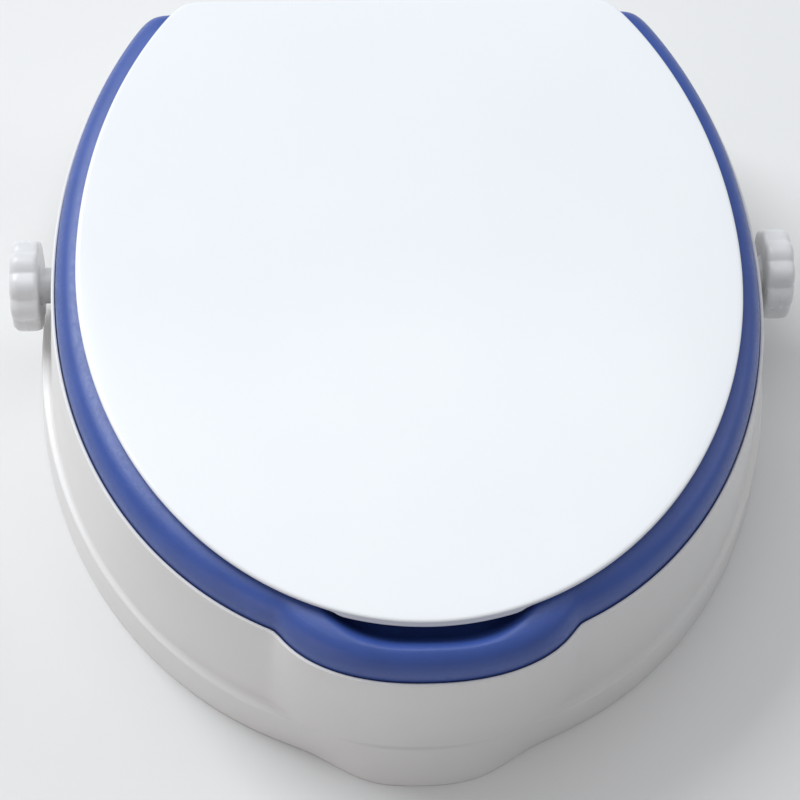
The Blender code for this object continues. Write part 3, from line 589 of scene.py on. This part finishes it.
def make_pad():
    """Rings from the pad's foot over its crown and into the carrier's channel."""
    low, roof = DECK_TOP + GAP, CARRIER_HIGH + 0.7
    sections = [
        (at_height(pad_ring(-0.8), low), 0.8),
        (at_height(PAD, 93.0), 1.5),
        (at_height(PAD, 99.6), 2.6),
        (at_height(between(OPENING, PAD, 0.985), 105.5), 99.0),
        (at_height(between(OPENING, PAD, 0.93), 111.8), 99.0),
        (at_height(between(OPENING, PAD, 0.83), 114.6), 99.0),
        (at_height(between(OPENING, PAD, 0.68), PAD_CREST_Z), 99.0),
        (at_height(between(OPENING, PAD, 0.50), PAD_CREST_Z), 99.0),
        (at_height(between(OPENING, PAD, 0.32), 114.6), 99.0),
        (at_height(between(OPENING, PAD, 0.16), 112.6), 99.0),
        (at_height(between(OPENING, PAD, 0.05), 107.5), 99.0),
        (at_height(offset(OPENING, 1.0), 99.0), 6.0),
        (at_height(offset(OPENING, 2.0), low), 1.2),
        (at_height(offset(OPENING, CARRIER_IN - CARRIER_PLAY), low), 0.5),
        (at_height(offset(OPENING, CARRIER_IN - CARRIER_PLAY), roof), 0.5),
        (at_height(pad_ring(CARRIER_PLAY - CARRIER_OUT), roof), 0.5),
        (at_height(pad_ring(CARRIER_PLAY - CARRIER_OUT), low), 0.5),
    ]
    loops, radii = zip(*sections)
    loops = [dipped(loop) for loop in rounded(loops, radii, closed=True, steps=6)]
    pad = link("ring_pad", skin("ring_pad", loops, closed=True))
    finish_piece(pad, FOAM, "root", "seat_pad")


def make_carrier():
    outer, inner = pad_ring(-CARRIER_OUT), offset(OPENING, CARRIER_IN)
    loops = [at_height(outer, CARRIER_LOW), at_height(outer, CARRIER_HIGH),
             at_height(inner, CARRIER_HIGH), at_height(inner, CARRIER_LOW)]
    carrier = link("pad_carrier_plate",
                   skin("pad_carrier_plate", rounded(loops, (0.7,) * 4, True), closed=True))
    holes = [(cylinder_mesh(PAD_HOLE, CARRIER_LOW - 2, CARRIER_HIGH + 2, sides=24), (x, y, 0))
             for x, y in ring_points(PAD_SCREW_STATIONS, OPENING_OVAL, PAD_OVAL)]
    combine(carrier, holes, "DIFFERENCE")
    finish_piece(carrier, CARRIER, "root", "pad_carrier")


# ---- lid ----------------------------------------------------------------------------------
def lid_height(share):
    return LID_TOP - LID_CROWN * share ** 2


def hull_plate(radius, corners, low, high):
    """A plate across X: a disc round the hinge line, hulled with the given corners."""
    bm = bmesh.new()
    for x in (low, high):
        for a, b in circle(radius, 64):
            bm.verts.new(Vector((x, HINGE_Y + a, HINGE_Z + b)) * MM)
        for y, z in corners:
            bm.verts.new(Vector((x, y, z)) * MM)
    result = bmesh.ops.convex_hull(bm, input=bm.verts)
    spare = [item for item in result["geom_interior"] if isinstance(item, bmesh.types.BMVert)]
    bmesh.ops.delete(bm, geom=spare, context="VERTS")
    bmesh.ops.dissolve_limit(bm, angle_limit=radians(0.5), verts=bm.verts, edges=bm.edges)
    mesh = bpy.data.meshes.new("hull_plate")
    bm.to_mesh(mesh)
    bm.free()
    return mesh


def make_lid():
    lip = 0.5 * (1.0 - np.tanh((np.abs(LID[:, 0]) - LIP_HALF) / 2.0)) * (LID[:, 1] < 0)
    edge_top = LID_TOP - LID_CROWN
    lipped = LID + lip[:, None] * (offset(LID, LIP_OUT) - LID)
    shares = (0.03, 0.12, 0.24, 0.36, 0.48, 0.6, 0.7, 0.8, 0.88, 0.94)
    top = [(at_height(between(CENTRE, LID, share), lid_height(share)), 0.0) for share in shares]
    rim = [
        (at_height(LID, edge_top), 2.4),
        (at_height(LID, edge_top - 2.2), 0.5),
        (at_height(lipped, edge_top - LID_THICK + 1.1 - LIP_DOWN * lip), 0.7),
        (at_height(offset(lipped, -1.8), edge_top - LID_THICK - LIP_DOWN * lip), 0.6),
        (at_height(offset(LID, -4.5), edge_top - LID_THICK), 1.0),
    ]
    under = [(loop - np.array([0, 0, LID_THICK]), 0.0) for loop, _ in reversed(top)]
    loops, radii = zip(*(top + rim + under))
    lid = link("lid_panel", skin("lid_panel", rounded(loops, radii, steps=5)))
    ear_top = edge_top - LID_THICK + 1.0
    corners = ((HINGE_Y - 7.5, ear_top), (HINGE_Y - 0.5, ear_top))
    ears = [(hull_plate(EAR_RADIUS, corners, side * HINGE_X - EAR_HALF,
                        side * HINGE_X + EAR_HALF), (0, 0, 0)) for side, _ in SIDES]
    bores = [(cylinder_mesh(PIN_BORE, side * HINGE_X - EAR_HALF - 2,
                            side * HINGE_X + EAR_HALF + 2, "X", 32), (0, HINGE_Y, HINGE_Z))
             for side, _ in SIDES]
    combine(lid, ears, "UNION")
    combine(lid, bores, "DIFFERENCE")
    finish_piece(lid, LID_SKIN, "lid", "lid")


def make_bumpers():
    """Rubber buttons with a rounded foot and a shallow cup below."""
    for number in range(1, 5):
        low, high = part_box(f"lid_bumper_{number}")
        tall = (high.z - low.z) / MM
        reach = (high.x - low.x) / MM / 2
        profile = ((reach * 0.3, tall), (reach, tall), (reach, 0.2), (reach * 0.75, 0),
                   (reach * 0.45, 0), (reach * 0.3, 0.5))
        mesh = turned_mesh("bumper", profile, (0, 0.5, 0.6, 0.4, 0.3, 0))
        place = (low + high) / 2 / MM
        item = link(f"bumper_button_{number}", mesh, (place.x, place.y, low.z / MM))
        finish_piece(item, RUBBER, "lid", f"lid_bumper_{number}")


# ---- fasteners and hinges -----------------------------------------------------------------
def screw_mesh(head, head_height, shank, length):
    """A pan-head screw with a rolled thread, the head's underside at zero."""
    sides, rings, pitch, depth = 32, 8, 1.4, 0.35
    loops = [[(x, y, head_height - drop) for x, y in circle(radius, sides)]
             for radius, drop in ((head * 0.15, 0), (head * 0.55, 0.05), (head * 0.8, 0.3),
                                  (head * 0.97, head_height * 0.55), (head, head_height - 0.25),
                                  (head * 0.98, head_height))]
    steps = int((length - 1.6) / pitch * rings)
    for step in range(steps + 1):
        z = -0.6 - step * pitch / rings
        taper = min(1.0, (length + z) / 2.0)
        ring = []
        for i in range(sides):
            phase = (z / pitch + i / sides) % 1.0
            reach = (shank - depth * abs(2 * phase - 1)) * (0.4 + 0.6 * taper)
            ring.append((reach * cos(tau * i / sides), reach * sin(tau * i / sides), z))
        loops.append(ring)
    loops.append([(x, y, -length) for x, y in circle(0.3, sides)])
    return skin("screw", loops)


def add_screw(name, mesh, place, rotation, node, arm):
    """A screw at its node's place, with a cross recess whose arms have the given length."""
    screw = link(name, mesh.copy())
    top = max(vert.co.z for vert in mesh.vertices) / MM
    slot = arm * RECESS_SHARE
    for size_x, size_y in ((arm, slot), (slot, arm)):
        combine(screw, [(box_mesh(size_x, size_y, RECESS_CUT), (0, 0, top))], "DIFFERENCE")
    screw.location = Vector(place) * MM
    screw.rotation_euler = rotation
    finish_piece(screw, STEEL, "root", node)


def make_screws():
    mesh = screw_mesh(head=4.5, head_height=2.4, shank=2.0, length=6.4)
    places = ring_points(PAD_SCREW_STATIONS, OPENING_OVAL, PAD_OVAL)
    for number, (x, y) in enumerate(places, 1):
        add_screw(f"pad_fixing_{number}", mesh, (x, y, DECK_UNDER - GAP), (pi, 0, 0),
                  f"pad_screw_{number}", 4.6)
    mesh = screw_mesh(head=3.8, head_height=2.2, shank=1.9, length=11.0)
    for side, name in SIDES:
        for hand in (-1, 1):
            where = "inner" if hand * side < 0 else "outer"
            place = (side * HINGE_X + hand * BRACKET_SCREW_X,
                     (BRACKET_FRONT + BRACKET_REAR) / 2, DECK_TOP + BRACKET_THICK + 2 * GAP)
            add_screw(f"hinge_fixing_{name}_{where}", mesh, place, (0, 0, 0.4 * hand),
                      f"bracket_screw_{name}_{where}", 4.0)


def make_hinge(side, name):
    middle, low = side * HINGE_X, DECK_TOP + GAP
    centre_y = (BRACKET_FRONT + BRACKET_REAR) / 2
    base = box_mesh(2 * BRACKET_HALF, BRACKET_REAR - BRACKET_FRONT, BRACKET_THICK)
    bracket = link(f"hinge_fork_{name}", joined("fork", [
        (base, (middle, centre_y, low + BRACKET_THICK / 2))]))
    lug_inner = EAR_HALF + 0.4
    corners = ((BRACKET_FRONT + 0.5, low + 1.0), (BRACKET_REAR - 0.5, low + 1.0))
    lugs, holes = [], []
    for hand in (-1, 1):
        ends = sorted((middle + hand * lug_inner, middle + hand * (lug_inner + LUG_WALL)))
        lugs.append((hull_plate(LUG_RADIUS, corners, *ends), (0, 0, 0)))
        holes.append((cylinder_mesh(BRACKET_HOLE, low - 2, low + BRACKET_THICK + 2, sides=24),
                      (middle + hand * BRACKET_SCREW_X, centre_y, 0)))
    reach = lug_inner + LUG_WALL
    combine(bracket, lugs, "UNION")
    bevelled(bracket, 0.5, 2, 50)
    holes.append((cylinder_mesh(PIN_BORE, middle - reach - 2, middle + reach + 2, "X", 32),
                  (0, HINGE_Y, HINGE_Z)))
    combine(bracket, holes, "DIFFERENCE")
    finish_piece(bracket, STEEL, "root", f"hinge_bracket_{name}")
    profile = ((0.4, reach + 2.6), (4.6, reach + 2.6), (4.6, reach + GAP),
               (PIN_RADIUS, reach + GAP), (PIN_RADIUS, -reach - 1.0), (0.4, -reach - 1.0))
    pin = link(f"hinge_rod_{name}", turned_mesh("pin", profile, (0, 1.2, 0.2, 0.2, 0.8, 0)),
               (middle, HINGE_Y, HINGE_Z), (0, side * pi / 2, 0))
    finish_piece(pin, STEEL, "root", f"hinge_pin_{name}")


# ---- clamps -------------------------------------------------------------------------------
def lobed(scale, count=KNOB_SIDES):
    """The hand wheel's edge: broad round lobes with narrower flutes between them."""
    points = []
    for i in range(count):
        angle = tau * i / count
        wave = abs(cos(KNOB_LOBES * angle / 2)) ** 1.1
        reach = (KNOB_RADIUS - KNOB_LOBE + 2 * KNOB_LOBE * wave) * scale
        points.append((reach * cos(angle), reach * sin(angle)))
    return points


def knob_mesh():
    """Rings from the blind end of the bore, out over the hub and lobes to the dished face."""
    def disc(radius):
        return circle(radius, KNOB_SIDES)

    sections = [
        (disc(2.0), BORE_END, 0), (disc(SPINDLE_BORE), BORE_END, 0.3),
        (disc(SPINDLE_BORE), HUB_END, 0.5), (disc(HUB_RADIUS), HUB_END, 0.8),
        (disc(HUB_RADIUS), KNOB_BACK + 0.4, 1.6), (lobed(0.90), KNOB_BACK, 1.5),
        (lobed(0.99), KNOB_BACK + 1.2, 2.0), (lobed(1.0), KNOB_BACK + 5.0, 3.0),
        (lobed(1.0), KNOB_FACE - 3.0, 2.5), (lobed(0.90), KNOB_FACE, 2.0),
        (lobed(0.72), KNOB_FACE, 1.5), (disc(12.0), KNOB_FACE - 2.2, 1.5),
        (disc(9.5), KNOB_FACE - 2.2, 1.0), (disc(8.0), KNOB_FACE - 0.6, 1.0),
        (disc(2.0), KNOB_FACE - 0.4, 0),
    ]
    loops = [[(x, y, z) for x, y in points] for points, z, _ in sections]
    return skin("knob", rounded(loops, [radius for _, _, radius in sections], steps=4))


def spindle_mesh():
    """A rod with a coarse rolled thread, a thrust collar and a groove for its clip."""
    groove_low, groove_high = CLIP_INNER_X - 0.2, CLIP_INNER_X + CLIP_THICK + 0.2
    sides, rings = 48, 10
    loops = [[(x, y, SPINDLE_OUTER) for x, y in circle(SPINDLE_RADIUS - 1.2, sides)]]
    length = SPINDLE_OUTER - COLLAR_OUTER
    steps = int(length / THREAD_PITCH * rings)
    for step in range(steps + 1):
        z = SPINDLE_OUTER - 0.6 - (length - 1.2) * step / steps
        loop = []
        for i in range(sides):
            phase = (z / THREAD_PITCH + i / sides) % 1.0
            flank = min(max(abs(2 * phase - 1) * 2.0 - 0.5, 0.0), 1.0)
            reach = SPINDLE_RADIUS - THREAD_DEPTH * flank
            loop.append((reach * cos(tau * i / sides), reach * sin(tau * i / sides), z))
        loops.append(loop)
    plain = ((SPINDLE_RADIUS - 0.4, COLLAR_OUTER + 0.3), (COLLAR_RADIUS - 0.4, COLLAR_OUTER),
             (COLLAR_RADIUS, COLLAR_OUTER - 0.4), (COLLAR_RADIUS, COLLAR_INNER + 0.4),
             (COLLAR_RADIUS - 0.4, COLLAR_INNER), (SPINDLE_RADIUS, COLLAR_INNER - 0.1),
             (SPINDLE_RADIUS, groove_high), (GROOVE_RADIUS, groove_high),
             (GROOVE_RADIUS, groove_low), (SPINDLE_RADIUS, groove_low),
             (SPINDLE_RADIUS, SPINDLE_INNER + 0.6), (SPINDLE_RADIUS - 0.6, SPINDLE_INNER))
    loops += [[(x, y, z) for x, y in circle(radius, sides)] for radius, z in plain]
    return skin("spindle", loops, angle=35)


def clip_mesh():
    """A flat snap ring, open at one side, with three narrower stretches."""
    loops = []
    inner, count = GROOVE_RADIUS + GAP, 48
    for i in range(count + 1):
        angle = radians(30 + 300 * i / count)
        outer = CLIP_RADIUS - 1.2 * (0.5 + 0.5 * cos(3 * angle)) ** 4
        loops.append([(radius * cos(angle), radius * sin(angle), z)
                      for radius, z in ((inner, 0), (outer, 0), (outer, CLIP_THICK),
                                        (inner, CLIP_THICK))])
    return skin("clip", loops)


def nut_mesh():
    count = 96
    hexes = [(-y, x) for x, y in hexagon(NUT_RADIUS, count)]
    low, high = NUT_INNER, NUT_OUTER
    crown = [(-y, x) for x, y in circle(NUT_RADIUS * 0.88, count)]
    bore = [(-y, x) for x, y in circle(SPINDLE_BORE, count)]
    sections = [(hexes, low + 0.5), (hexes, high - 0.5), (crown, high), (bore, high),
                (bore, low), (crown, low)]
    return skin("nut", [[(x, y, z) for x, y in points] for points, z in sections], closed=True)


def make_shoe(side, name):
    outer, foot_outer = SHOE_INNER + SHOE_THICK, FOOT_X + SHOE_THICK
    profile = [(SHOE_INNER, SHOE_TOP), (outer, SHOE_TOP), (outer, CRANK_TOP),
               (foot_outer, SHOE_FOOT_TOP), (foot_outer, SHOE_FOOT_BOTTOM),
               (FOOT_X, SHOE_FOOT_BOTTOM), (FOOT_X, SHOE_FOOT_TOP - 1.0),
               (SHOE_INNER, CRANK_TOP - 1.0)]
    loops = [[(side * x, KNOB_Y + y, z) for x, z in profile] for y in (-SHOE_HALF, SHOE_HALF)]
    shoe = link(f"shoe_bracket_{name}", skin("shoe", loops))
    bevelled(shoe, 1.0, 3, 30)
    hole = cylinder_mesh(SPINDLE_RADIUS + 0.4, *span(side, SHOE_INNER - 2, outer + 2), axis="X")
    combine(shoe, [(hole, (0, KNOB_Y, KNOB_Z))], "DIFFERENCE")
    finish_piece(shoe, CARRIER, f"clamp_{name}", f"clamp_shoe_{name}")


def grooved_block(name, node, body, size, grooves, groove, face, rotation=0.0):
    """A rubber block with a row of grooves across one face, at its node's place."""
    low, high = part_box(node)
    middle = (low + high) / 2 / MM
    block = link(name, box_mesh(*size))
    bevelled(block, 0.5, 2)
    width, depth = groove
    spans = size[1] / (grooves + 1)
    cutters = []
    for i in range(grooves):
        y = -size[1] / 2 + spans * (i + 1)
        if face == "down":
            cutters.append((box_mesh(size[0] + 2, width, depth * 2), (0, y, -size[2] / 2)))
        else:
            cutters.append((box_mesh(depth * 2, width, size[2] + 2), (face * size[0] / 2, y, 0)))
    combine(block, cutters, "DIFFERENCE")
    block.location = middle * MM
    block.rotation_euler = (0, 0, rotation)
    finish_piece(block, RUBBER, body, node)


def make_clamps():
    knob, spindle, clip, nut = knob_mesh(), spindle_mesh(), clip_mesh(), nut_mesh()
    for side, name in SIDES:
        turn, place = (0, side * pi / 2, 0), (0, KNOB_Y, KNOB_Z)
        finish_piece(link(f"hand_wheel_{name}", knob.copy(), place, turn), KNOB_SKIN,
                     f"knob_{name}", f"knob_{name}")
        finish_piece(link(f"threaded_rod_{name}", spindle.copy(), place, turn), STEEL,
                     f"knob_{name}", f"spindle_{name}")
        clip_place = (side * CLIP_INNER_X, KNOB_Y, KNOB_Z)
        finish_piece(link(f"snap_ring_{name}", clip.copy(), clip_place, turn), STEEL,
                     f"knob_{name}", f"retaining_clip_{name}")
        finish_piece(link(f"captive_nut_{name}", nut.copy(), place, turn), STEEL,
                     "root", f"spindle_nut_{name}")
        make_shoe(side, name)
        grooved_block(f"bowl_grip_{name}", f"clamp_pad_{name}", f"clamp_{name}",
                      CLAMP_PAD_SIZE, 5, (1.6, 0.8), -side)


def make_rest_pads():
    angles = np.array(REST_PAD_STATIONS) * tau / CAD_STATIONS
    chute = outline(**OPENING_OVAL, stations=angles)
    flange = outline(**FLANGE_OVAL, stations=angles)
    for number, outward in enumerate(flange - chute, 1):
        turn = float(np.arctan2(outward[1], outward[0]))
        grooved_block(f"grip_block_{number}", f"rest_pad_{number}", "root", REST_PAD_SIZE,
                      7, (1.8, 0.5), "down", turn)


make_body()
make_pad()
make_carrier()
make_lid()
make_bumpers()
make_screws()
for seat_side, side_name in SIDES:
    make_hinge(seat_side, side_name)
make_clamps()
make_rest_pads()


# ---- floor, light and camera --------------------------------------------------------------
# each light's name, place, target, size in metres, power in watts and colour
LIGHTS = (
    ("window", (-2.6, 2.2, 3.4), (0, 0, 0.1), 2.6, 168, (0.95, 0.98, 1.0)),
    ("overhead", (-0.1, 0.6, 2.9), (0, 0, 0), 2.2, 23, (0.96, 0.98, 1.0)),
    ("right_fill", (2.6, 0.6, 2.0), (0, 0, 0.05), 1.8, 13, (1.0, 1.0, 1.0)),
    ("warm_bounce", (-1.0, -1.1, 0.35), (0, 0, 0.05), 0.8, 2.2, (1.0, 0.84, 0.74)),
)


def stage_material():
    m = Material("floor_paper", (0.78, 0.78, 0.78), 0.9)
    m.bump(m.noise(300, 3.0), 0.05, 0.1)
    return m.material


def make_stage():
    bpy.ops.mesh.primitive_plane_add(size=12, location=(0, 0, 0))
    floor = bpy.context.object
    floor.name = "floor"
    floor.data.materials.append(stage_material())


def area_light(name, place, target, size, energy, color):
    data = bpy.data.lights.new(name, "AREA")
    data.shape = "SQUARE"
    data.size = size
    data.energy = energy
    data.color = color
    item = bpy.data.objects.new(name, data)
    item.location = place
    item.rotation_euler = (Vector(target) - Vector(place)).to_track_quat("-Z", "Y").to_euler()
    bpy.context.scene.collection.objects.link(item)


def make_light():
    world = bpy.data.worlds.new("studio")
    world.use_nodes = True
    background = world.node_tree.nodes["Background"]
    background.inputs["Color"].default_value = (0.95, 0.97, 1.0, 1.0)
    background.inputs["Strength"].default_value = 0.28
    bpy.context.scene.world = world
    for light in LIGHTS:
        area_light(*light)


def make_camera():
    azimuth, elevation, roll, distance = radians(-5.71), radians(57.9), radians(3.75), 1.0412
    target = Vector((-0.00941, -0.0655, 0.124))
    back = Vector((sin(azimuth) * cos(elevation), -cos(azimuth) * cos(elevation),
                   sin(elevation)))
    data = bpy.data.cameras.new("camera")
    data.lens = 95.7
    data.sensor_width = 36.0
    camera = bpy.data.objects.new("camera", data)
    camera.location = target + back * distance
    aim = (-back).to_track_quat("-Z", "Y") @ Quaternion((0, 0, 1), roll)
    camera.rotation_euler = aim.to_euler()
    bpy.context.scene.collection.objects.link(camera)
    bpy.context.scene.camera = camera


make_stage()
make_light()
make_camera()
bpy.context.scene.view_settings.view_transform = "Standard"
